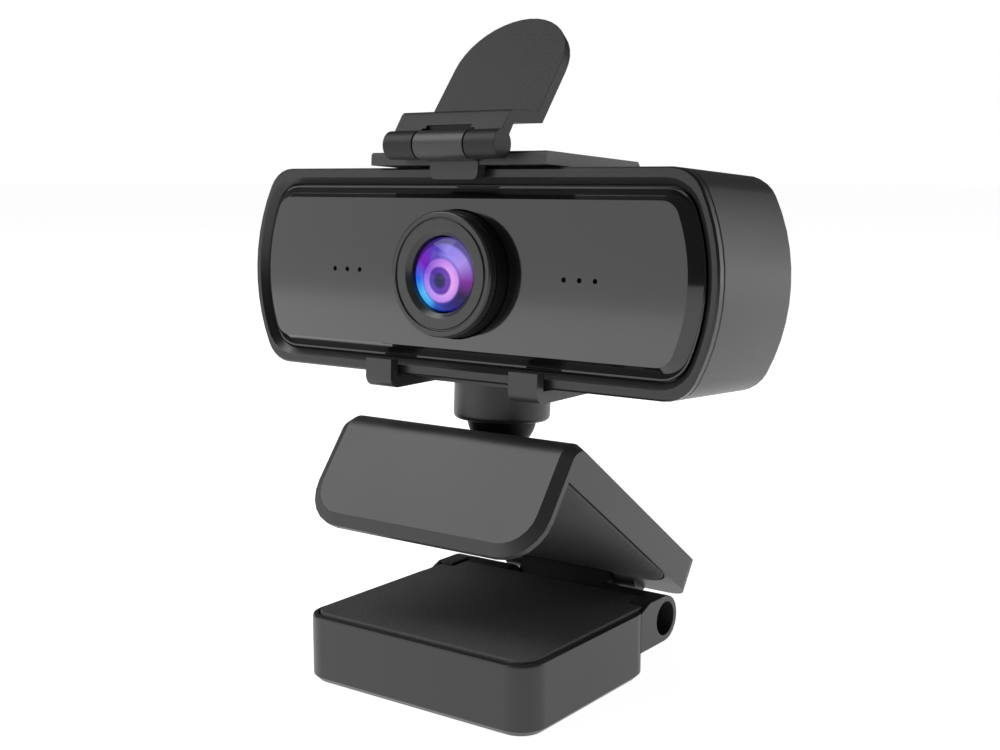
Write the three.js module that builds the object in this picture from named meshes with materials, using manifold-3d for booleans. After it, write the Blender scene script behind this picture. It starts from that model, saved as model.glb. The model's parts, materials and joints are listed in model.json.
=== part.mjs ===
// Webcam on a folding clip foot: camera head with a flip-up lens cover, ball joint, bent clip arm,
// link and base.
// Millimetres. +Z up, the lens looks along -Y. The origin is the middle of the base's underside.
import * as THREE from "three";
import { mergeVertices } from "three/addons/utils/BufferGeometryUtils.js";
import Module from "manifold-3d";

const wasm = await Module();
wasm.setup();

// ---------- driving dimensions ----------
const DEG = Math.PI / 180;
const GAP = 0.3; // between pieces that are fitted to each other
const RUN = 0.08; // between a hinge pin and what turns on it

const base = { width: 50, depth: 39.3, height: 12.2, corner: 5, chamfer: 1, wall: 2, top: 2.2 };
const pad = { inset: 1.4, proud: 0.5, thick: 1.5, corner: 3.6, notch: 20.7, notchBack: 19.2, back: 24 };
const cover = { inset: 2.4, thick: 1.6 };
const insert = { y: -7, outer: 4.4, bore: 2.6, depth: 7 };
const screwPlaces = [[-18, 12], [18, 12], [-18, -12], [18, -12]];
const foot = {
  y: 25.55, z: 8.8, barrel: 4.3, inner: 10.8, outer: 24.6, recess: 3.2, recessDepth: 4, pin: 1.2,
};
const link = { half: 10.3, lean: 62.4 * DEG, face: 0.6, low: 2.5, high: 3.6, along: 7.3, across: 4.2 };
const lug = { radius: 2.8, outer: 15.3, pin: 0.9, slot: 10.8, room: 4.1, skin: 2.1 };
const arm = { half: 25.3, chamfer: 2, chamferDepth: 1.1, ridge: 4.3 };
const lip = { y: -18.45, z: 31.7, slope: 52.8 * DEG, thick: 2.2, corner: 8 };
const leg = { offset: 28.51, slope: 35.2 * DEG, thick: 7.4, end: 21.6, corner: 4.6, rear: 3 };
const armPad = { half: 24.5, low: 15.5, corner: 7, notch: 11.2, notchLow: 14.5, deep: 0.9, proud: 0.2 };
const ball = { y: 7.65, z: 47.1, radius: 6.35, neck: 3.3, spigot: 2.6 };
const seat = { inner: 6.65, outer: 7.5, cavity: 7.8 };
const headPlace = { y: 7.65, z: 48, pitch: 3.1 * DEG };
const head = { half: 49.65, halfHeight: 18.25, end: 33, corner: 6, middle: 24.81, front: -13.91, back: 14 };
const shell = { wall: 1.4, front: -12.1, rear: 1.8, round: 2.2 };
const plate = { half: 46.6, halfHeight: 14.8, end: 31, corner: 5, face: -14.81, bevel: 1.85, back: -11.4 };
const lens = { barrel: 10.9, ring: 10.72, front: -19.45, bore: 7.45, glass: 6.3 };
const mics = { places: [22.1, 25.1, 28.1], hole: 0.45, middle: 25.1 };
const shellScrews = [[-37, 9.5], [37, 9.5], [-37, -9.5], [37, -9.5]];
const boardScrews = [[-20, -8.3], [20, -8.3]];
const board = { half: 30, halfHeight: 11, front: -3.1, back: -1.5 };
const strap = {
  inner: 12.8, outer: 18.66, front: -16.37, top: 9.18, low: 4.1, floor: 4.94, back: 16.2, bridge: 5.5,
};
const collar = { radius: 8.8, bottom: -1.4, round: 1, boss: 4 };
const clip = {
  half: 18.75, front: -16.1, back: 13.8, bottom: 43.36, top: 45.6, tab: 5.14, tabFront: -16.37, tabLow: 40.9,
};
const hinge = { y: -18.72, z: 46.56, barrel: 2.45, half: 11.84, middle: 5.25, pin: 0.9 };
const flap = {
  half: 11.5, step: [3.27, 4.65], shelf: 8.2, straight: 11, lean: 51.5 * DEG, thick: 2, slit: 4.8,
};

// ---------- shape tools ----------
const solidOf = (geometry) => {
  const plain = geometry.clone();
  for (const name of ["normal", "uv"]) plain.deleteAttribute(name);
  const merged = mergeVertices(plain, 1e-4);
  const vertProperties = new Float32Array(merged.attributes.position.array);
  const triVerts = new Uint32Array(merged.index.array);
  const make = () => new wasm.Manifold(new wasm.Mesh({ numProp: 3, vertProperties, triVerts }));
  const made = make();
  if (made.volume() > 0) return made;
  for (let i = 0; i < triVerts.length; i += 3) {
    [triVerts[i + 1], triVerts[i + 2]] = [triVerts[i + 2], triVerts[i + 1]];
  }
  return make();
};
const geometryOf = (solid) => {
  const mesh = solid.getMesh();
  return new THREE.BufferGeometry()
    .setAttribute("position", new THREE.BufferAttribute(mesh.vertProperties, 3))
    .setIndex(new THREE.BufferAttribute(mesh.triVerts, 1));
};
const join = (...parts) => geometryOf(parts.map(solidOf).reduce((a, b) => a.add(b)));
const cut = (body, ...tools) => geometryOf(tools.map(solidOf).reduce((a, b) => a.subtract(b), solidOf(body)));
const common = (a, b) => geometryOf(solidOf(a).intersect(solidOf(b)));

const basis = (x, y, z) => new THREE.Matrix4().makeBasis(...[x, y, z].map((v) => new THREE.Vector3(...v)));
const ALONG_X = basis([0, 1, 0], [0, 0, 1], [1, 0, 0]); // a drawing of (y, z), extruded along +X
const TURN_X = basis([0, 0, 1], [1, 0, 0], [0, 1, 0]); // a lathe about X
const TURN_Z = basis([1, 0, 0], [0, 0, 1], [0, -1, 0]); // a lathe about Z

const outline = (points) => new THREE.Shape(points.map(([a, b]) => new THREE.Vector2(a, b)));
const extrude = (points, depth) =>
  new THREE.ExtrudeGeometry(outline(points), { depth, bevelEnabled: false });
const alongX = (points, x0, x1) => extrude(points, x1 - x0).applyMatrix4(ALONG_X).translate(x0, 0, 0);
const alongZ = (points, z0, z1) => extrude(points, z1 - z0).translate(0, 0, z0);
const box = (x0, x1, y0, y1, z0, z1) =>
  new THREE.BoxGeometry(x1 - x0, y1 - y0, z1 - z0)
    .translate((x0 + x1) / 2, (y0 + y1) / 2, (z0 + z1) / 2);

const turned = (points, sides) =>
  new THREE.LatheGeometry(points.map(([r, a]) => new THREE.Vector2(r, a)), sides);
const turnedX = (points, y, z, sides = 28) => turned(points, sides).applyMatrix4(TURN_X).translate(0, y, z);
const turnedY = (points, x, z, sides = 28) => turned(points, sides).translate(x, 0, z);
const turnedZ = (points, x, y, sides = 28) => turned(points, sides).applyMatrix4(TURN_Z).translate(x, y, 0);
const rod = (radius, a0, a1) => [[0, a0], [radius, a0], [radius, a1], [0, a1]];
const tube = (inner, outer, a0, a1) => [[inner, a0], [outer, a0], [outer, a1], [inner, a1], [inner, a0]];

// Points of an arc, from angle a0 to a1.
const arc = (cx, cy, r, a0, a1, steps) =>
  Array.from({ length: steps + 1 }, (_, i) => {
    const a = a0 + ((a1 - a0) * i) / steps;
    return [cx + r * Math.cos(a), cy + r * Math.sin(a)];
  });

// A rectangle with round corners, set in from half-sizes.
const roundBox = (halfX, halfY, r, steps = 6) => [
  ...arc(halfX - r, r - halfY, r, -Math.PI / 2, 0, steps),
  ...arc(halfX - r, halfY - r, r, 0, Math.PI / 2, steps),
  ...arc(r - halfX, halfY - r, r, Math.PI / 2, Math.PI, steps),
  ...arc(r - halfX, r - halfY, r, Math.PI, 1.5 * Math.PI, steps),
];

// Flat top and bottom, bowed ends and round corners: the outline of the head and of its front plate.
const bowed = ({ half, halfHeight, end, corner }, inset, z) => {
  const [w, h, e, c] = [half - inset, halfHeight - inset, end - inset, corner - inset];
  const rise = h - c;
  const reach = w - e + Math.sqrt((e - c) ** 2 - rise ** 2);
  const meet = Math.atan2(rise, reach - (w - e));
  const quarter = [...arc(w - e, 0, e, 0, meet, 5), ...arc(reach, rise, c, meet, Math.PI / 2, 5).slice(1)];
  const back = quarter.slice().reverse();
  return [
    ...quarter,
    ...back.map(([x, y]) => [-x, y]),
    ...quarter.slice(1).map(([x, y]) => [-x, -y]),
    ...back.slice(0, -1).map(([x, y]) => [x, -y]),
  ].map(([x, y]) => [x, y + z]);
};

// A closed skin over rings that have the same number of points.
const loft = (rings) => {
  const count = rings[0].length;
  const faces = [];
  for (let k = 0; k + 1 < rings.length; k++) {
    for (let i = 0; i < count; i++) {
      const j = (i + 1) % count;
      faces.push(k * count + i, k * count + j, (k + 1) * count + j);
      faces.push(k * count + i, (k + 1) * count + j, (k + 1) * count + i);
    }
  }
  const capFaces = (ring) => {
    const normal = new THREE.Vector3();
    const points = ring.map((p) => new THREE.Vector3(...p));
    points.forEach((p, i) => normal.add(p.clone().cross(points[(i + 1) % count])));
    const axis = ["x", "y", "z"].reduce((m, n) => (Math.abs(normal[n]) > Math.abs(normal[m]) ? n : m));
    const [u, v] = { x: ["y", "z"], y: ["z", "x"], z: ["x", "y"] }[axis];
    const flip = normal[axis] < 0;
    const drawn = points.map((p) => new THREE.Vector2(flip ? -p[u] : p[u], p[v]));
    return THREE.ShapeUtils.triangulateShape(drawn, []);
  };
  for (const [a, b, c] of capFaces(rings[0])) faces.push(a, c, b);
  const last = (rings.length - 1) * count;
  for (const [a, b, c] of capFaces(rings[rings.length - 1])) faces.push(last + a, last + b, last + c);
  return new THREE.BufferGeometry()
    .setAttribute("position", new THREE.BufferAttribute(new Float32Array(rings.flat().flat()), 3))
    .setIndex(faces);
};
const loftY = (layers) => loft(layers.map(([points, y]) => points.map(([x, z]) => [x, y, z])));
const loftZ = (layers) => loft(layers.map(([points, z]) => points.map(([x, y]) => [x, y, z])));

// ---------- materials ----------
const paint = (color, roughness, metalness = 0) =>
  new THREE.MeshStandardMaterial({ color, roughness, metalness });
const plastic = paint(0x26272a, 0.5);
const darkPlastic = paint(0x17181a, 0.55);
const gloss = paint(0x0b0c0e, 0.15);
const rubber = paint(0x141415, 0.9);
const steel = paint(0x9a9c9f, 0.35, 0.9);
const brass = paint(0xb08d4c, 0.35, 0.9);
const glass = paint(0x3b3f7a, 0.05);
const circuit = paint(0x123a24, 0.6);
const chip = paint(0x101012, 0.4);
const silicon = paint(0x3a3550, 0.2, 0.3);

const webcam = new THREE.Group();
const add = (group, name, geometry, material) => {
  const mesh = new THREE.Mesh(geometry, material);
  mesh.name = name;
  group.add(mesh);
};

// ---------- base ----------
const halfWidth = base.width / 2;
const halfDepth = base.depth / 2;
const blockOutline = (inset) => roundBox(halfWidth - inset, halfDepth - inset, base.corner - inset);
const coverOutline = (inset) =>
  roundBox(halfWidth - cover.inset - inset, halfDepth - cover.inset - inset, 2.8);

function padOutline(grow) {
  const side = halfWidth - pad.inset + grow;
  const near = -halfDepth + pad.inset - grow;
  const step = pad.notch + grow;
  const [stepBack, back] = [pad.notchBack + grow, pad.back + grow];
  const r = pad.corner;
  return [
    ...arc(side - r, near + r, r, -Math.PI / 2, 0, 5),
    [side, stepBack], [step, stepBack], [step, back],
    [-step, back], [-step, stepBack], [-side, stepBack],
    ...arc(r - side, near + r, r, Math.PI, 1.5 * Math.PI, 5),
  ];
}

// One of the two barrels at the rear, with its end plate.
function footBarrel(side) {
  const { y, z, barrel, inner, outer } = foot;
  const at = (a, b) => (side > 0 ? [a, b] : [-b, -a]);
  const low = z - barrel;
  const round = arc(y, z, barrel, -Math.PI / 2, Math.PI / 2, 12);
  const body = [[halfDepth - 3, low], ...round, [y - 2.2, z + 3.4], [halfDepth - 3, z + 2.2]];
  const end = [[halfDepth - 3, low], ...round, [halfDepth + 0.2, z + barrel], [halfDepth - 3, z + 3]];
  return join(alongX(body, ...at(inner, outer)), alongX(end, ...at(pad.notch + GAP, outer)));
}

function baseShell() {
  const block = loftZ([
    [blockOutline(base.chamfer), 0], [blockOutline(0), base.chamfer], [blockOutline(0), base.height - 0.5],
    [blockOutline(0.15), base.height - 0.15], [blockOutline(0.5), base.height],
  ]);
  const seatLow = base.height + pad.proud - pad.thick - GAP;
  const shelf = box(-pad.notch, pad.notch, halfDepth - 3, foot.y - 2.8, seatLow - 1.2, seatLow + 0.1);
  const room = roundBox(halfWidth - base.wall, halfDepth - base.wall, 3);
  const hollow = alongZ(room, -1, base.height - base.top - 0.2);
  const coverSeat = alongZ(coverOutline(-GAP), -1, cover.thick + GAP);
  const bosses = screwPlaces.map(([x, y]) => turnedZ(rod(2.6, cover.thick + GAP, base.height - 2), x, y, 16));
  const pilots = screwPlaces.map(([x, y]) => turnedZ(rod(1.15, 0, base.height - base.top - 1.6), x, y, 12));
  const padSeat = alongZ(padOutline(GAP), seatLow, base.height + 3);
  const { y, z, recess, recessDepth, outer, pin } = foot;
  const ends = [
    turnedX(rod(recess, outer - recessDepth, outer + 1), y, z),
    turnedX(rod(recess, -outer - 1, recessDepth - outer), y, z),
  ];
  const pinBore = turnedX(rod(pin + RUN, -outer - 1, outer + 1), y, z, 20);
  const hollowed = cut(join(block, shelf, footBarrel(1), footBarrel(-1)), hollow, coverSeat);
  return cut(join(hollowed, ...bosses), padSeat, ...ends, pinBore, ...pilots);
}

function baseCover() {
  const flat = alongZ(coverOutline(0), 0, cover.thick);
  const tower = turnedZ(rod(insert.outer + 1.6, cover.thick - 0.2, insert.depth + 0.9), 0, insert.y);
  const room = turnedZ(rod(insert.outer + 0.2, -1, insert.depth + 0.2), 0, insert.y);
  const air = turnedZ(rod(insert.bore, 0, insert.depth + 3), 0, insert.y, 20);
  const sinks = screwPlaces.map(([x, y]) =>
    turnedZ([[0, -1], [2.4, -1], [2.4, 0.8], [1.3, 0.8], [1.3, 3], [0, 3]], x, y, 16));
  return cut(join(flat, tower), room, air, ...sinks);
}

function tripodInsert() {
  const { outer, bore, depth, y } = insert;
  return turnedZ([
    [bore, 0.2], [outer - 0.4, 0.2], [outer, 0.6], [outer, 2.8], [outer - 0.5, 3.1], [outer - 0.5, 3.9],
    [outer, 4.2], [outer, depth - 0.3], [bore, depth - 0.3], [bore, 0.2],
  ], 0, y);
}

function buildBase() {
  const group = new THREE.Group();
  const padLow = base.height + pad.proud - pad.thick;
  add(group, "base_shell", baseShell(), plastic);
  add(group, "base_cover", baseCover(), darkPlastic);
  add(group, "base_pad", alongZ(padOutline(0), padLow, padLow + pad.thick), rubber);
  add(group, "tripod_insert", tripodInsert(), brass);
  const screw = [[0, 0.1], [2.1, 0.1], [2.1, 0.6], [1, 0.75], [1, 7], [0, 7]];
  screwPlaces.forEach(([x, y], i) => add(group, `base_screw_${i + 1}`, turnedZ(screw, x, y, 14), steel));
  add(group, "foot_pin", turnedX(rod(foot.pin, -19.5, 19.5), foot.y, foot.z, 20), steel);
  return group;
}

// ---------- link between base and arm ----------
// Places on the link: along it from the foot pin, and across it to the rear.
const onLink = (along, across) => [
  foot.y + along * Math.cos(link.lean) + across * Math.sin(link.lean),
  foot.z + along * Math.sin(link.lean) - across * Math.cos(link.lean),
];
const [armY, armZ] = onLink(link.along, link.across);

function linkBody() {
  const web = [
    onLink(0, link.face), onLink(link.along, link.face), onLink(link.along, link.across + link.high - 0.4),
    onLink(0.3, link.low - 0.2), onLink(-1.5, link.low - 1.2),
  ];
  const low = turnedX(rod(link.low, -link.half, link.half), foot.y, foot.z);
  const high = turnedX(rod(link.high, -link.half, link.half), armY, armZ);
  const bores = [
    turnedX(rod(foot.pin + RUN, -20, 20), foot.y, foot.z, 20),
    turnedX(rod(lug.pin + RUN, -20, 20), armY, armZ, 20),
  ];
  return cut(join(alongX(web, -link.half, link.half), low, high), ...bores);
}

function buildLink() {
  const group = new THREE.Group();
  add(group, "link", linkBody(), darkPlastic);
  return group;
}

// ---------- arm ----------
// Frames on the lip's face and on the leg's inner face: across, along, outwards.
const lipFrame = basis([1, 0, 0], [0, Math.cos(lip.slope), Math.sin(lip.slope)],
  [0, -Math.sin(lip.slope), Math.cos(lip.slope)]).setPosition(0, lip.y, lip.z);
const legFrame = basis([1, 0, 0], [0, Math.cos(leg.slope), -Math.sin(leg.slope)],
  [0, Math.sin(leg.slope), Math.cos(leg.slope)])
  .setPosition(0, leg.offset * Math.sin(leg.slope), leg.offset * Math.cos(leg.slope));
const place = (frame, along, out) => {
  const point = new THREE.Vector3(0, along, out).applyMatrix4(frame);
  return [point.y, point.z];
};
// Where a line at one height over the lip's face meets a line at another over the leg's inner face.
const corner = (overLip, overLeg) => {
  const [y0, z0] = place(lipFrame, 0, overLip);
  const [ny, nz] = [Math.sin(leg.slope), Math.cos(leg.slope)];
  const away = leg.offset + overLeg - y0 * ny - z0 * nz;
  const t = away / (Math.cos(lip.slope) * ny + Math.sin(lip.slope) * nz);
  return [y0 + t * Math.cos(lip.slope), z0 + t * Math.sin(lip.slope)];
};
const armPin = new THREE.Vector3(0, armY, armZ).applyMatrix4(legFrame.clone().invert());

function armSection(inset) {
  const r = arm.ridge;
  const rear = leg.rear;
  const [cy, cz] = corner(-r, leg.thick - r);
  return [
    place(lipFrame, 10, -lip.thick), place(lipFrame, 10, -inset),
    ...arc(cy, cz, r - inset, lip.slope + Math.PI / 2, Math.PI / 2 - leg.slope, 9),
    ...arc(leg.end - rear, leg.thick - rear, rear - inset, Math.PI / 2, 0, 4)
      .map(([s, d]) => place(legFrame, s, d)),
    place(legFrame, leg.end - inset, 0),
    corner(-lip.thick, 0),
  ];
}

function lipPlate() {
  const rings = [[arm.chamfer, 0], [0, -arm.chamferDepth], [0, -lip.thick]].map(([inset, out]) => {
    const [x, low, r] = [arm.half - inset, inset - arm.chamfer, lip.corner - inset];
    return [
      ...arc(x - r, low + r, r, -Math.PI / 2, 0, 6), [x, 10.5], [-x, 10.5],
      ...arc(r - x, low + r, r, Math.PI, 1.5 * Math.PI, 6),
    ].map(([a, along]) => [a, along, out]);
  });
  return loft(rings).applyMatrix4(lipFrame);
}

function armShell() {
  const sides = [[-arm.half, arm.chamferDepth], [arm.chamfer - arm.half, 0], [arm.half - arm.chamfer, 0],
    [arm.half, arm.chamferDepth]];
  const bent = loft(sides.map(([x, inset]) => armSection(inset).map(([y, z]) => [x, y, z])));
  const r = leg.corner;
  const plan = [
    [-arm.half - 1, -70], [arm.half + 1, -70], [arm.half + 1, leg.end - r - 4], [arm.half, leg.end - r - 4],
    ...arc(arm.half - r, leg.end - r, r, 0, Math.PI / 2, 6),
    ...arc(r - arm.half, leg.end - r, r, Math.PI / 2, Math.PI, 6),
    [-arm.half, leg.end - r - 4], [-arm.half - 1, leg.end - r - 4],
  ];
  const plate = common(bent, alongZ(plan, -5, 30).applyMatrix4(legFrame));
  const lugs = [1, -1].map((side) => {
    const [a, b] = side > 0 ? [lug.slot, lug.outer] : [-lug.outer, -lug.slot];
    return turnedX(rod(lug.radius, a, b), armY, armZ, 24);
  });
  return cut(join(plate, lipPlate(), ...lugs), ...armRooms());
}

// What is cut out of the arm: the link's slot, the pin's bore, the rubber's bed and the ball stud's seat.
function armRooms() {
  const { x: _, y: s, z: d } = armPin;
  const w = lug.slot;
  const inLeg = (geometry) => geometry.applyMatrix4(legFrame);
  return [
    turnedX(rod(lug.room, -w, w), armY, armZ),
    inLeg(box(-w, w, s - lug.room, leg.end + 2, -4, d)),
    inLeg(box(-w, w, s, leg.end + 2, -4, leg.thick - lug.skin)),
    turnedX(rod(lug.pin + RUN, -lug.outer - GAP, lug.outer + GAP), armY, armZ, 20),
    inLeg(alongZ(armPadOutline(GAP), -1, armPad.deep + GAP)),
    turnedZ([[0, 20], [3.4, 20], [3.4, 34.9], [1.6, 34.9], [1.6, 36], [ball.spigot + 0.1, 36],
      [ball.spigot + 0.1, 50], [0, 50]], 0, ball.y, 24),
    turnedZ(rod(ball.neck + 1.6, 38.4, 50), 0, ball.y, 24),
  ];
}

function armPadOutline(grow) {
  const { half, low, notch, notchLow, corner: r } = armPad;
  const [inY, inZ] = corner(-lip.thick, 0);
  const top = inY * Math.cos(leg.slope) - inZ * Math.sin(leg.slope) + GAP * 2 - grow;
  const side = half + (grow * 5) / 6;
  return [
    ...arc(half - r, low - r, r + grow, Math.PI / 2, 0, 6),
    [side, top], [-side, top],
    ...arc(r - half, low - r, r + grow, Math.PI, Math.PI / 2, 6),
    [-notch, low + grow], [-notch, notchLow + grow], [notch, notchLow + grow], [notch, low + grow],
  ];
}

// The ball on its neck, a round flange that lies on the arm, and a spigot held by a screw from inside.
function ballStud() {
  const { radius, z, neck, spigot, y } = ball;
  const start = -Math.PI / 2 + Math.asin(neck / radius);
  return turnedZ([
    [0, 36.3], [spigot, 36.3], [spigot, 38.7], [neck + 1.3, 38.7], [neck + 1.3, 40], [neck, 40.5],
    ...arc(0, z, radius, start, Math.asin(5.4 / radius), 14), [0, z + 5.4],
  ], 0, y, 36);
}

function buildArm() {
  const group = new THREE.Group();
  add(group, "arm_shell", armShell(), plastic);
  const padBody = alongZ(armPadOutline(0), -armPad.proud, armPad.deep).applyMatrix4(legFrame);
  add(group, "arm_pad", padBody, rubber);
  add(group, "arm_pin", turnedX(rod(lug.pin, -lug.outer, lug.outer), armY, armZ, 20), steel);
  const bore = turnedZ(rod(1.2, 30, 43), 0, ball.y, 16);
  add(group, "ball_stud", cut(ballStud(), bore), darkPlastic);
  const screw = [[0, 33.4], [2.9, 33.4], [2.9, 34.6], [1.1, 34.6], [1.1, 42.4], [0, 42.4]];
  add(group, "ball_screw", turnedZ(screw, 0, ball.y, 16), steel);
  return group;
}

// ---------- ball joint liners ----------
const shellZone = (a0, a1, steps) => [
  ...arc(0, 0, seat.outer, a0, a1, steps), ...arc(0, 0, seat.inner, a1, a0, steps),
];
function buildSeats() {
  const group = new THREE.Group();
  group.position.set(0, ball.y, ball.z);
  const ring = shellZone(-2 * DEG, 40 * DEG, 5);
  const dome = shellZone(52 * DEG, 90 * DEG, 5).map(([r, z]) => [Math.abs(r) < 1e-6 ? 0 : r, z]);
  add(group, "ball_seat_lower", turnedZ([...ring, ring[0]], 0, 0, 36), darkPlastic);
  add(group, "ball_seat_upper", turnedZ([...dome.slice(6), ...dome.slice(0, 6)], 0, 0, 36), darkPlastic);
  return group;
}

// ---------- head ----------
const fromHead = (y, z) => {
  const [c, s] = [Math.cos(headPlace.pitch), Math.sin(headPlace.pitch)];
  return [headPlace.y + y * c + z * s, headPlace.z + z * c - y * s];
};
const toHead = (y, z) => {
  const [c, s] = [Math.cos(headPlace.pitch), Math.sin(headPlace.pitch)];
  const [dy, dz] = [y - headPlace.y, z - headPlace.z];
  return [dy * c - dz * s, dz * c + dy * s];
};
const mid = head.middle;
const headOutline = (inset) => bowed(head, inset, mid);
const plateOutline = (inset) => bowed(plate, inset, mid);

function bracket() {
  const { inner, outer, front, top, low, floor, back } = strap;
  const under = mid - head.halfHeight - GAP;
  const hook = 1.9;
  const side = [
    ...arc(front + 2, low + 2, 2, Math.PI, 1.5 * Math.PI, 6), [0, floor],
    ...arc(back - 1.6, floor + 1.6, 1.6, -Math.PI / 2, 0, 5), [back, top], [back - hook + 0.3, top],
    [back - hook + 0.3, under], [front + hook, under], [front + hook, top], [front, top],
  ];
  const straps = [alongX(side, inner, outer), alongX(side, -outer, -inner)];
  const bridge = box(-inner - 0.1, inner + 0.1, -9.5, 9.5, strap.bridge, under);
  const { radius, bottom, round, boss } = collar;
  const neck = turnedZ([
    [0, bottom], [radius - round, bottom],
    ...arc(radius - round, bottom + round, round, -Math.PI / 2, 0, 4).slice(1),
    [radius, strap.bridge + 0.3], [0, strap.bridge + 0.3],
  ], 0, 0, 40);
  const locator = turnedZ(rod(boss, strap.bridge, 7.8), 0, 0, 24);
  const [y, z] = toHead(ball.y, ball.z);
  const cavity = new THREE.SphereGeometry(seat.cavity, 36, 18).rotateX(Math.PI / 2).translate(0, y, z);
  const mouth = turnedZ(rod(seat.cavity, -10, z), 0, y, 36);
  return cut(join(...straps, bridge, neck, locator), join(cavity, mouth));
}

function rearShell() {
  const { wall, front, rear, round } = shell;
  const edge = arc(0, head.back - round, round, 0, Math.PI / 2, 4)
    .map(([x, y]) => [headOutline(round - x), y]);
  const body = loftY([[headOutline(0.2), front], [headOutline(0), front + 0.2], ...edge]);
  const room = loftY([[headOutline(wall), front - 2], [headOutline(wall), head.back - rear]]);
  const posts = [
    ...shellScrews.map(([x, z]) => turnedY(rod(3.2, -1.6, 12.6), x, mid + z, 16)),
    ...boardScrews.map(([x, z]) => turnedY(rod(2.4, board.back + GAP, 12.6), x, mid + z, 16)),
  ];
  const screwRooms = shellScrews.map(([x, z]) =>
    turnedY([[0, -3], [1.5, -3], [1.5, 8.4], [2.9, 8.4], [2.9, 16], [0, 16]], x, mid + z, 16));
  const pilots = boardScrews.map(([x, z]) => turnedY(rod(1.1, -3, 6), x, mid + z, 12));
  const locatorRoom = turnedZ(rod(collar.boss + GAP, 4, 8.6), 0, 0, 24);
  const gland = turnedY(rod(3.4, 10, 16), 0, mid - 11, 20);
  return cut(join(cut(body, room), ...posts), ...screwRooms, ...pilots, locatorRoom, gland);
}

function frontBezel() {
  const rimBack = shell.front - GAP;
  const rim = loftY([
    [headOutline(0.35), head.front], [headOutline(0), head.front + 0.35], [headOutline(0), rimBack],
  ]);
  const inside = headOutline(shell.wall + GAP);
  const skirt = loftY([[inside, rimBack - 0.3], [inside, -8.6]]);
  const funnel = loftY([
    [plateOutline(-2), head.front - 0.2], [plateOutline(-0.6), head.front + 1.2],
    [plateOutline(-0.6), plate.back + GAP],
  ]);
  const middle = loftY([[plateOutline(1.6), plate.back], [plateOutline(1.6), -8]]);
  const posts = shellScrews.map(([x, z]) => turnedY(rod(3.2, plate.back + GAP + 0.2, -2), x, mid + z, 16));
  const webs = shellScrews.map(([x, z]) =>
    box(x - 1, x + 1, plate.back + GAP + 0.2, -8.6, mid + z, mid + Math.sign(z) * 14.2).toNonIndexed());
  const pilots = shellScrews.map(([x, z]) => turnedY(rod(1.25, -7.6, 0), x, mid + z, 12));
  return cut(join(cut(join(rim, skirt), funnel, middle), ...posts, ...webs), ...pilots);
}

function frontPlate() {
  const bevelBack = plate.face + plate.bevel;
  const body = loftY([
    [plateOutline(plate.bevel), plate.face], [plateOutline(0), bevelBack],
    [plateOutline(-0.3), bevelBack + 0.05], [plateOutline(-0.3), plate.back],
  ]);
  const pocket = loftY([[plateOutline(2.6), plate.face + 1.5], [plateOutline(2.6), plate.back + 1]]);
  const lensHole = turnedY(rod(lens.barrel + GAP, -16, -10), 0, mid, 48);
  const holes = mics.places.flatMap((x) => [x, -x]).map((x) => turnedY(rod(mics.hole, -16, -10), x, mid, 10));
  return cut(body, pocket, lensHole, ...holes);
}

function lensParts(group) {
  const { barrel, ring, front, bore, glass: r } = lens;
  const lathe = (points, sides = 48) => turnedY(points, 0, mid, sides);
  const closed = (points) => lathe([...points, points[0]]);
  add(group, "lens_ring", closed([
    [bore, front], [9.3, front], [9.35, front + 0.35], [9.65, front + 0.35], [9.7, front],
    [ring - 0.3, front], [ring, front + 0.3], [ring, -17.6], [9.6, -17.6], [9.6, -16.4],
    [r + GAP, -16.4], [r + GAP, -18.7],
  ]), gloss);
  add(group, "lens_barrel", closed([
    [9.9, -17.3], [barrel, -17.3], [barrel, -10.6], [12.4, -10.6], [12.4, -9.4], [r + GAP, -9.4],
    [r + GAP, -16.1], [9.9, -16.1],
  ]), darkPlastic);
  const dome = Array.from({ length: 8 }, (_, i) => [(r * i) / 7, -19.4 + 1.3 * (i / 7) ** 2]);
  add(group, "lens_glass", lathe([...dome, [r, -16.8], [0, -16.8]], 40), glass);
  add(group, "lens_retainer", lathe(tube(4.4, r, -16.4, -15.2), 40), darkPlastic);
  const element = [[0, -12.9], [2.2, -12.7], [4, -12.1], [4, -11], [2.2, -10.4], [0, -10.2]];
  add(group, "inner_lens", lathe(element, 32), glass);
  const stem = lathe(rod(5.8, -12.9, -4), 32);
  const square = box(-7.5, 7.5, -6.2, board.front - GAP, mid - 7.5, mid + 7.5);
  const room = lathe([[0, -14], [4.3, -14], [4.3, -10.2], [2.6, -9.6], [2.6, -6.9], [0, -6.9]], 32);
  const sensorRoom = box(-5.4, 5.4, -7, -2, mid - 5.4, mid + 5.4);
  add(group, "lens_holder", cut(join(stem, square), room, sensorRoom), darkPlastic);
  add(group, "ir_filter", box(-4.6, 4.6, -6.7, -6.2, mid - 4.6, mid + 4.6), glass);
  add(group, "image_sensor", box(-4.5, 4.5, -4.6, board.front - GAP, mid - 4.5, mid + 4.5), silicon);
}

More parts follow.
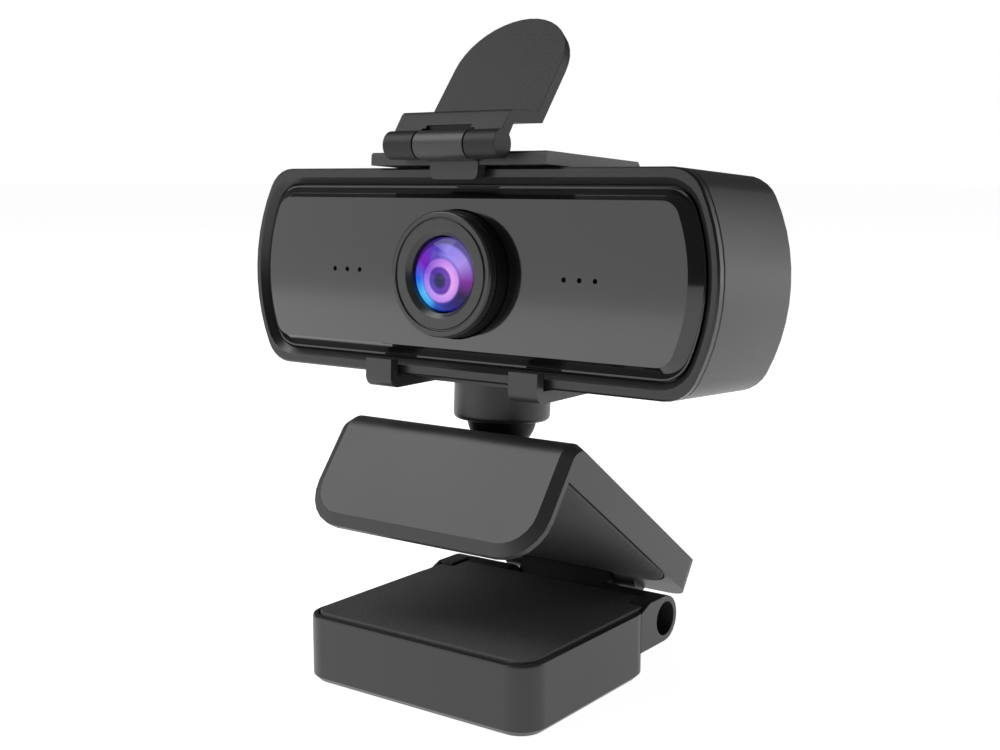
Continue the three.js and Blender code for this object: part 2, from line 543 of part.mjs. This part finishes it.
function electronics(group) {
  const { half, halfHeight, front, back } = board;
  const holes = boardScrews.map(([x, z]) => turnedY(rod(1.4, -5, 0), x, mid + z, 12));
  const sheet = box(-half, half, front, back, mid - halfHeight, mid + halfHeight);
  add(group, "main_board", cut(sheet, ...holes), circuit);
  add(group, "video_chip", box(-6, 6, back + GAP, 0.2, mid - 5, mid + 7), chip);
  add(group, "cable_header", box(9, 17, back + GAP, 3, mid + 4, mid + 9), plastic);
  for (const [side, name] of [[-1, "left"], [1, "right"]]) {
    const x = side * mics.middle;
    add(group, `microphone_${name}`, box(x - 2, x + 2, front - 1.4, front - GAP, mid - 1.5, mid + 1.5), steel);
    add(group, `mic_gasket_${name}`, turnedY(tube(4, 4.9, -13, -4.9), x, mid, 24), rubber);
  }
  boardScrews.forEach(([x, z], i) => {
    const under = front - GAP;
    const screw = [[0, front - 1.4], [2.1, front - 1.4], [2.1, under], [1, under], [1, 4], [0, 4]];
    add(group, `board_screw_${i + 1}`, turnedY(screw, x, mid + z, 14), steel);
  });
  shellScrews.forEach(([x, z], i) => {
    const screw = [[0, -6.5], [1.1, -6.5], [1.1, 8.7], [2.5, 8.7], [2.5, 10.4], [0, 10.4]];
    add(group, `shell_screw_${i + 1}`, turnedY(screw, x, mid + z, 14), steel);
  });
  const gland = [
    [1.9, 9], [4.6, 9], [4.6, 11.8], [3.1, 11.8], [3.1, 14.4], [4.2, 14.4], [3.4, 18.5], [1.9, 18.5],
  ];
  add(group, "cable_gland", turnedY([...gland, gland[0]], 0, mid - 11, 24), rubber);
}

function shutterClip() {
  const { half, front, back, bottom, top, tab, tabFront, tabLow } = clip;
  const slab = alongX([[front, bottom], [back - 0.8, bottom], [back, bottom + 0.8], [back, top - 0.6],
    [back - 0.6, top], [front + 0.4, top], [front, top - 0.4]], -half, half);
  const tongue = extrude([
    ...arc(tab - 1.2, tabLow + 1.2, 1.2, -Math.PI / 2, 0, 4), [tab, top - 0.6], [-tab, top - 0.6],
    ...arc(1.2 - tab, tabLow + 1.2, 1.2, Math.PI, 1.5 * Math.PI, 4),
  ], head.front - GAP - tabFront).applyMatrix4(TURN_Z).translate(0, head.front - GAP, 0);
  const neck = alongX(
    [[hinge.y, hinge.z - 2.2], [front + 1, bottom + 0.3], [front + 1, top], [hinge.y, hinge.z + 2.2]],
    -hinge.middle, hinge.middle);
  const knuckle = turnedX(rod(hinge.barrel, -hinge.middle, hinge.middle), hinge.y, hinge.z);
  const bore = turnedX(rod(hinge.pin + RUN, -9, 9), hinge.y, hinge.z, 16);
  return cut(join(slab, tongue, neck, knuckle), bore);
}

function buildHead() {
  const group = new THREE.Group();
  group.position.set(0, headPlace.y, headPlace.z);
  group.rotation.x = -headPlace.pitch;
  add(group, "head_bracket", bracket(), plastic);
  add(group, "rear_shell", rearShell(), plastic);
  add(group, "front_bezel", frontBezel(), plastic);
  add(group, "front_plate", frontPlate(), gloss);
  lensParts(group);
  electronics(group);
  add(group, "shutter_clip", shutterClip(), plastic);
  add(group, "shutter_pin", turnedX(rod(hinge.pin, -10.5, 10.5), hinge.y, hinge.z, 16), steel);
  return group;
}

// ---------- flip-up lens cover ----------
function shutterFlap() {
  const { half, step, shelf, straight, lean, thick } = flap;
  const [y0, z0] = step;
  const back = y0 + shelf;
  const r = thick / 2;
  const [uy, uz] = [Math.cos(lean), Math.sin(lean)];
  const end = straight + half;
  const side = [
    [-0.9, 0.6], [y0 - r * 0.9, z0 + r * 0.55], [y0 - 0.3, z0 + r], [back - r * 0.6, z0 + r],
    [back - r * uz + end * uy, z0 + r * uy + end * uz], [back + r * uz + end * uy, z0 - r * uy + end * uz],
    [back + r * 0.6, z0 - r], [y0 + r * 0.6, z0 - r], [0.9, -0.6],
  ];
  const sheet = alongX(side, -half, half);
  const blade = basis([1, 0, 0], [0, uy, uz], [0, -uz, uy]).setPosition(0, back, z0);
  const plan = [
    [-half - 1, -40], [half + 1, -40], [half + 1, straight], ...arc(0, straight, half, 0, Math.PI, 20),
    [-half - 1, straight]];
  const barrels = [[hinge.middle + GAP, hinge.half], [-hinge.half, -hinge.middle - GAP]]
    .map(([a, b]) => turnedX(rod(hinge.barrel, a, b), 0, 0));
  const rounded = common(sheet, alongZ(plan, -40, 40).applyMatrix4(blade));
  const middle = hinge.middle + GAP;
  const knuckleRoom = turnedX(rod(hinge.barrel + 0.4, -middle, middle), 0, 0);
  const below = box(-middle, middle, -5, 1.6, -5, 1.2);
  const slit = box(-flap.slit, flap.slit, -5, 1.5, 2, 3.3);
  const bore = turnedX(rod(hinge.pin + RUN, -hinge.half + 1, hinge.half - 1), 0, 0, 16);
  return cut(join(rounded, ...barrels), knuckleRoom, below, slit, bore);
}

function buildFlap() {
  const group = new THREE.Group();
  group.position.set(0, ...fromHead(hinge.y, hinge.z));
  add(group, "shutter_flap", shutterFlap(), plastic);
  return group;
}

webcam.add(buildBase(), buildLink(), buildArm(), buildSeats(), buildHead(), buildFlap());

export default webcam;
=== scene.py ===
import json
import math

import bpy
from mathutils import Matrix, Vector


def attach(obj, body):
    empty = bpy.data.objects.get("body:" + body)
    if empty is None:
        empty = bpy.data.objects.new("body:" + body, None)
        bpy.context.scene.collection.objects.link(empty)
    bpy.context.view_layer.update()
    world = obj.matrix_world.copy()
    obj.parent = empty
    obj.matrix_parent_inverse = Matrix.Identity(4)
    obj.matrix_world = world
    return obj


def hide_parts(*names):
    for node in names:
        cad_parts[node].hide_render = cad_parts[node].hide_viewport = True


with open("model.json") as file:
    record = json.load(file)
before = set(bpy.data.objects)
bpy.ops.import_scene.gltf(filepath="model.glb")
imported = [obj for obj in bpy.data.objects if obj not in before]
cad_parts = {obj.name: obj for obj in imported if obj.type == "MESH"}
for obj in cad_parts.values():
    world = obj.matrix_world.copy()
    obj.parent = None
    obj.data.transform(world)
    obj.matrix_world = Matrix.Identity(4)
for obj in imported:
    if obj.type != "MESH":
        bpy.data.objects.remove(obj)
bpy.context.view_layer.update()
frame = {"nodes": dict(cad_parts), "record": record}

MM = 0.001
HEAD_PITCH = math.radians(3.1)
HEAD_PLACE = Vector((0, 7.65, 48)) * MM
HEAD_FRAME = Matrix.Translation(HEAD_PLACE) @ Matrix.Rotation(-HEAD_PITCH, 4, "X")
LENS_CENTRE = HEAD_FRAME @ (Vector((0, 0, 24.81)) * MM)
LENS_RADIUS = 6.4 * MM
BODY_OF = {node: body for body, nodes in frame["record"]["behaviour"]["bodies"].items() for node in nodes}
SLOT_OF = {part["node"]: part["material_slot"] for part in frame["record"]["subparts"]}


# ---------- shader tools ----------
class Value:
    """A socket of a node tree, on which sums can be written."""

    def __init__(self, paint, socket):
        self.paint = paint
        self.socket = socket

    def math(self, operation, *others):
        return self.paint.node("ShaderNodeMath", {"operation": operation}, self, *others)

    def __add__(self, other):
        return self.math("ADD", other)

    def __sub__(self, other):
        return self.math("SUBTRACT", other)

    def __rsub__(self, other):
        return self.paint.node("ShaderNodeMath", {"operation": "SUBTRACT"}, other, self)

    def __mul__(self, other):
        return self.math("MULTIPLY", other)

    def __truediv__(self, other):
        return self.math("DIVIDE", other)

    __radd__ = __add__
    __rmul__ = __mul__


class Graph:
    """A node tree, in which nodes are made from their settings and from the values of their sockets."""

    def __init__(self, tree):
        self.tree = tree

    def node(self, kind, settings, *values, out=0, **named):
        made = self.tree.nodes.new(kind)
        stops = settings.pop("stops", None)
        for key, value in settings.items():
            setattr(made, key, value)
        if stops:
            ramp = made.color_ramp.elements
            while len(ramp) < len(stops):
                ramp.new(0.5)
            for element, (at, colour) in zip(ramp, stops):
                element.position = at
                element.color = (*colour, 1)
        for key, value in [*enumerate(values), *named.items()]:
            self.put(made.inputs[key], value)
        return Value(self, made.outputs[out])

    def put(self, target, value):
        if isinstance(value, Value):
            self.tree.links.new(value.socket, target)
        else:
            target.default_value = value

    def blend(self, amount, first, second):
        made = self.tree.nodes.new("ShaderNodeMix")
        made.data_type = "RGBA"
        self.put(made.inputs[0], amount)
        self.put(made.inputs[6], first if isinstance(first, Value) else (*first, 1))
        self.put(made.inputs[7], second if isinstance(second, Value) else (*second, 1))
        return Value(self, made.outputs[2])


class Paint(Graph):
    """One procedural material, made from a base colour and a roughness that vary over the surface."""

    def __init__(self, name):
        self.material = bpy.data.materials.new(name)
        self.material.use_nodes = True
        super().__init__(self.material.node_tree)
        self.shader = self.tree.nodes["Principled BSDF"]
        self.place = self.node("ShaderNodeTexCoord", {}, out="Object")

    def noise(self, scale, detail=2.0, rough=0.5):
        return self.node("ShaderNodeTexNoise", {}, Vector=self.place, Scale=scale, Detail=detail,
                         Roughness=rough)

    def cells(self, scale):
        return self.node("ShaderNodeTexVoronoi", {"feature": "F1"}, Vector=self.place, Scale=scale)

    def ramp(self, value, stops):
        return self.node("ShaderNodeValToRGB", {"stops": stops}, value)

    def set(self, **inputs):
        for key, value in inputs.items():
            name = key.replace("_", " ")
            if isinstance(value, tuple) and len(value) == 3:
                value = (*value, 1)
            self.put(self.shader.inputs[name], value)

    def bump(self, height, depth):
        made = self.node("ShaderNodeBump", {}, Strength=1.0, Distance=depth, Height=height)
        self.put(self.shader.inputs["Normal"], made)


def moulded_plastic(name, colour, roughness, grain, depth, shine=0.5):
    paint = Paint(name)
    paint.set(Specular_IOR_Level=shine)
    cloud = paint.noise(60, 3)
    fine = paint.noise(grain, 2, 0.6)
    pits = paint.cells(grain * 0.8)
    light = tuple(c * 1.12 for c in colour)
    dark = tuple(c * 0.88 for c in colour)
    paint.set(Base_Color=paint.blend(cloud * 0.6 + fine * 0.4, dark, light))
    paint.set(Roughness=cloud * 0.06 + fine * 0.08 + (roughness - 0.07))
    paint.bump(fine * 0.6 + pits * 0.4, depth)
    return paint.material


def grained_rubber(name, colour):
    paint = Paint(name)
    cloud = paint.noise(90, 3)
    fine = paint.noise(2300, 3, 0.7)
    pits = paint.cells(2600)
    paint.set(Base_Color=paint.blend(fine * 0.8 + cloud * 0.2, tuple(c * 0.35 for c in colour),
                                     tuple(c * 1.9 for c in colour)))
    paint.set(Roughness=cloud * 0.1 + fine * 0.12 + 0.62)
    paint.bump(fine * 0.7 + pits * 0.3, 0.0002)
    return paint.material


def polished_front(name):
    paint = Paint(name)
    cloud = paint.noise(35, 4)
    fine = paint.noise(1800, 2)
    paint.set(Base_Color=paint.blend(cloud, (0.004, 0.004, 0.0043), (0.007, 0.007, 0.0074)))
    paint.set(Roughness=cloud * 0.03 + fine * 0.02 + 0.07, Coat_Weight=0.5)
    paint.set(Coat_Roughness=0.06)
    paint.bump(cloud, 0.00002)
    return paint.material


def turned_metal(name, colour, roughness):
    paint = Paint(name)
    cloud = paint.noise(120, 3)
    fine = paint.noise(5200, 2)
    paint.set(Base_Color=paint.blend(cloud, tuple(c * 0.8 for c in colour), colour), Metallic=1.0)
    paint.set(Roughness=fine * 0.15 + cloud * 0.08 + (roughness - 0.1))
    paint.bump(fine, 0.00001)
    return paint.material


def glowing_lens_glass(name):
    """The front lens: a dark pupil, a pale ring, and blue, violet and cyan coating colours round it, painted
    on as reflections and made to glow by emission.
    """
    paint = Paint(name)
    local = paint.node("ShaderNodeVectorMath", {"operation": "SUBTRACT"}, paint.place, tuple(LENS_CENTRE))
    x, z = (paint.node("ShaderNodeSeparateXYZ", {}, local, out=axis) for axis in "XZ")
    radius = (x * x + z * z).math("SQRT") / LENS_RADIUS
    angle = z.math("ARCTAN2", x) / (2 * math.pi) + 0.5
    warp = paint.noise(420, 2) * 0.05 + radius - 0.025
    rings = paint.ramp(warp, [
        (0.0, (0.01, 0.01, 0.05)), (0.17, (0.02, 0.02, 0.12)), (0.24, (0.16, 0.05, 0.45)),
        (0.34, (0.12, 0.04, 0.40)), (0.40, (0.80, 0.50, 0.95)), (0.56, (0.70, 0.40, 0.90)),
        (0.62, (0.06, 0.04, 0.35)), (1.0, (0.01, 0.01, 0.05)),
    ])
    # Painted reflections: the coating's blue, violet and cyan colours, set by the angle round the lens.
    painted_reflection_sweep = paint.ramp(angle, [
        (0.0, (0.01, 0.14, 0.85)), (0.08, (0.08, 0.50, 0.95)), (0.15, (0.05, 0.42, 0.90)),
        (0.20, (0.01, 0.06, 0.45)), (0.28, (0.005, 0.005, 0.22)), (0.42, (0.015, 0.003, 0.04)),
        (0.50, (0.20, 0.02, 0.32)), (0.60, (0.42, 0.30, 0.85)), (0.70, (0.30, 0.25, 0.85)),
        (0.78, (0.08, 0.06, 0.50)), (0.90, (0.20, 0.01, 0.50)), (1.0, (0.01, 0.14, 0.85)),
    ])
    edge = paint.ramp(radius, [
        (0.0, (0.0,) * 3), (0.36, (0.05,) * 3), (0.58, (0.15,) * 3),
        (0.66, (0.95,) * 3), (0.94, (0.9,) * 3), (1.0, (0.3,) * 3),
    ])
    # Painted reflection: a pale lavender tint, set by angle, laid over the rings.
    painted_reflection_tint = paint.ramp(angle, [
        (0.0, (0.45, 0.35, 0.85)), (0.25, (0.75, 0.65, 0.95)), (0.45, (1.0, 0.8, 0.95)),
        (0.62, (0.9, 0.7, 0.95)), (0.88, (0.35, 0.2, 0.7)), (1.0, (0.45, 0.35, 0.85)),
    ])
    tinted = paint.node("ShaderNodeVectorMath", {"operation": "MULTIPLY"}, rings, painted_reflection_tint)
    colour = paint.blend(edge, tinted, painted_reflection_sweep)
    paint.set(Base_Color=paint.blend(0.1, (0.004, 0.004, 0.01), colour))
    paint.set(Roughness=paint.noise(900) * 0.02 + 0.05, Coat_Weight=0.2)
    paint.set(Specular_IOR_Level=0.1, Coat_Roughness=0.02)
    # Painted glow: the lens emits its own colours, though it is no lamp.
    paint.set(Emission_Color=colour, Emission_Strength=0.95)
    return paint.material


def lacquered_board(name, colour, roughness):
    paint = Paint(name)
    tracks = paint.cells(700)
    cloud = paint.noise(200, 3)
    paint.set(Base_Color=paint.blend(tracks, tuple(c * 0.7 for c in colour), tuple(c * 1.5 for c in colour)))
    paint.set(Roughness=cloud * 0.15 + (roughness - 0.07))
    paint.bump(tracks, 0.00003)
    return paint.material


FINISHES = {
    "housing": moulded_plastic("satin_housing", (0.024, 0.024, 0.0245), 0.38, 3800, 0.00003),
    "dark_plastic": moulded_plastic("dark_plastic", (0.005, 0.005, 0.0052), 0.5, 3000, 0.00003, shine=0.2),
    # Painted shade: a darker copy of the housing plastic, used on the shutter flap.
    "shaded_cover_satin": moulded_plastic("shaded_cover_satin", (0.010, 0.010, 0.0103), 0.44, 3400, 0.00003, shine=0.3),
    # Painted shade: a darker copy of the housing plastic, which darkens the bezel and its recessed funnel.
    "shaded_rim_satin": moulded_plastic("shaded_rim_satin", (0.009, 0.009, 0.0092), 0.30, 3400, 0.000008),
    "ring_satin": moulded_plastic("ring_satin", (0.020, 0.020, 0.0204), 0.24, 3400, 0.000008),
    "front_gloss": polished_front("polished_front"),
    "pad_rubber": grained_rubber("grained_rubber", (0.068, 0.068, 0.069)),
    "steel": turned_metal("turned_steel", (0.55, 0.55, 0.56), 0.32),
    "brass": turned_metal("turned_brass", (0.75, 0.56, 0.26), 0.3),
    # The lens carries painted reflections and a painted glow.
    "lens_glass": glowing_lens_glass("glowing_lens_glass"),
    "circuit": lacquered_board("lacquered_board", (0.01, 0.07, 0.03), 0.35),
    "chip": moulded_plastic("chip_resin", (0.014, 0.014, 0.015), 0.5, 5000, 0.00002),
    "silicon": lacquered_board("sensor_silicon", (0.06, 0.05, 0.12), 0.2),
}


# ---------- modelling tools ----------
# The widest that each rounded edge may be, in mm. A piece with very short edges somewhere gets far less,
# because the modifier narrows all its edges alike: the main housings stay almost sharp.
MOULDED_EDGE = 0.25
FINE_EDGE = 0.12
BASE_PAD_EDGE = 0.35
ARM_PAD_EDGE = 0.3
PAD_STEPS = 3
SHALLOW = 24  # degrees: less than the turn at the arm's chamfer
PLATE_SMOOTH = 20
FLAT = 0.6  # degrees: triangles of one plane


def deselect():
    if bpy.context.mode != "OBJECT":
        bpy.ops.object.mode_set(mode="OBJECT")
    bpy.ops.object.select_all(action="DESELECT")


def take(piece):
    deselect()
    piece.select_set(True)
    bpy.context.view_layer.objects.active = piece


def apply_all(piece):
    take(piece)
    for modifier in list(piece.modifiers):
        bpy.ops.object.modifier_apply(modifier=modifier.name)


def soften(piece, width, segments=2, angle=30, smooth=40):
    """Rounds the piece's sharp edges, as far as its shortest ones allow, and smooths its shading."""
    if width:
        bevel = piece.modifiers.new("edges", "BEVEL")
        bevel.width = width * MM
        bevel.segments = segments
        bevel.limit_method = "ANGLE"
        bevel.angle_limit = math.radians(angle)
        bevel.use_clamp_overlap = True
        bevel.miter_outer = "MITER_ARC"
        apply_all(piece)
    take(piece)
    bpy.ops.object.shade_smooth_by_angle(angle=math.radians(smooth))
    weighted = piece.modifiers.new("flat_faces", "WEIGHTED_NORMAL")
    weighted.weight = 100
    weighted.keep_sharp = True
    apply_all(piece)


def finish_piece(piece, slot, body, *nodes, finish=None):
    piece.data.materials.clear()
    piece.data.materials.append(FINISHES[finish or slot])
    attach(piece, body)
    if nodes:
        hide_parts(*nodes)


def rounded_node(node, width, segments=2, angle=30, smooth=40, finish=None):
    """A merged copy of a frame node, softened as far as its edges allow, which stands for it."""
    source = frame["nodes"][node]
    piece = bpy.data.objects.new(node + "_body", source.data.copy())
    bpy.context.scene.collection.objects.link(piece)
    take(piece)
    bpy.ops.object.mode_set(mode="EDIT")
    bpy.ops.mesh.select_all(action="SELECT")
    bpy.ops.mesh.remove_doubles(threshold=0.000002)
    bpy.ops.mesh.dissolve_limited(angle_limit=math.radians(FLAT))
    bpy.ops.object.mode_set(mode="OBJECT")
    if piece.data.has_custom_normals:
        bpy.ops.mesh.customdata_custom_splitnormals_clear()
    soften(piece, width, segments, angle, smooth)
    finish_piece(piece, SLOT_OF[node], BODY_OF[node], node, finish=finish)
    return piece


def moulded_node(node, finish=None):
    """A moulded piece, shaded so that its shallow chamfers stay crisp."""
    rounded_node(node, MOULDED_EDGE, angle=SHALLOW, smooth=SHALLOW, finish=finish)


# ---------- the object ----------
for name, node in frame["nodes"].items():
    node.data.materials.clear()
    node.data.materials.append(FINISHES[SLOT_OF[name]])

for name in ("base_shell", "base_cover", "link", "arm_shell", "head_bracket", "rear_shell", "shutter_clip"):
    moulded_node(name)
# The shutter flap wears the darker housing copy, which paints shade on it.
moulded_node("shutter_flap", "shaded_cover_satin")
rounded_node("base_pad", BASE_PAD_EDGE, PAD_STEPS)
rounded_node("arm_pad", ARM_PAD_EDGE, PAD_STEPS)
# The front bezel wears the darker plastic, which paints the shade of its funnel.
moulded_node("front_bezel", "shaded_rim_satin")
rounded_node("front_plate", 0, smooth=PLATE_SMOOTH)
rounded_node("lens_ring", FINE_EDGE, finish="ring_satin")
for name in ("lens_barrel", "lens_glass", "ball_stud", "ball_seat_lower", "cable_gland"):
    rounded_node(name, FINE_EDGE)


# ---------- studio ----------
SKY = (0.1, 0.1, 0.1)
BACKDROP = (1.0, 1.0, 1.0)
FLOOR_GLOW = 0.9
FLOOR_SIZE = 40
LIGHT_AIM = Vector((0, 0, 0.06))
PANELS = {  # direction, distance, size and brightness
    "front_panel": ((-0.60, -0.80, 0.12), 1.2, (0.9, 0.7), 1.18),
    "upper_panel": ((-0.55, -0.42, 0.72), 1.1, (0.8, 0.8), 3.4),
    "side_panel": ((0.66, 0.74, 0.10), 1.3, (0.8, 0.9), 2.05),
}
CAMERA_PLACE = Vector((144.23, -191.25, 89.76)) * MM
CAMERA_DOWN = math.radians(8.15)
CAMERA_TURN = math.radians(36.03)
CAMERA_LENS = 49.22
SENSOR_WIDTH = 36


def studio_panel(name, toward, distance, size, radiance):
    data = bpy.data.lights.new(name, "AREA")
    data.shape = "RECTANGLE"
    data.size, data.size_y = size
    data.energy = radiance * math.pi * size[0] * size[1]
    light = bpy.data.objects.new(name, data)
    light.location = LIGHT_AIM + Vector(toward).normalized() * distance
    light.rotation_euler = (LIGHT_AIM - light.location).to_track_quat("-Z", "Y").to_euler()
    bpy.context.scene.collection.objects.link(light)


def studio_world(scene):
    """A dim, even sky all round, with a white backdrop where the sky itself is looked at."""
    world = bpy.data.worlds.new("studio_world")
    scene.world = world
    world.use_nodes = True
    tree = world.node_tree
    sky = Graph(tree)
    looked_at = sky.node("ShaderNodeLightPath", {}, out="Is Camera Ray")
    sky.put(tree.nodes["Background"].inputs[0], sky.blend(looked_at, SKY, BACKDROP))


def studio():
    scene = bpy.context.scene
    scene.view_settings.view_transform = "Standard"
    deselect()
    bpy.ops.mesh.primitive_plane_add(size=FLOOR_SIZE, location=(0, 0, 0))
    floor = bpy.context.object
    floor.name = "studio_floor"
    paint = Paint("pale_floor")
    paint.set(Base_Color=paint.blend(paint.noise(3), (0.78,) * 3, (0.82,) * 3), Roughness=0.9)
    paint.set(Emission_Color=(1.0, 1.0, 1.0), Emission_Strength=FLOOR_GLOW)
    floor.data.materials.append(paint.material)

    studio_world(scene)
    for name, (toward, distance, size, radiance) in PANELS.items():
        studio_panel(name, toward, distance, size, radiance)

    data = bpy.data.cameras.new("view")
    data.lens = CAMERA_LENS
    data.sensor_width = SENSOR_WIDTH
    data.clip_start = 0.01
    camera = bpy.data.objects.new("view", data)
    camera.location = CAMERA_PLACE
    camera.rotation_euler = (math.pi / 2 - CAMERA_DOWN, 0, CAMERA_TURN)
    scene.collection.objects.link(camera)
    scene.camera = camera


studio()
deselect()
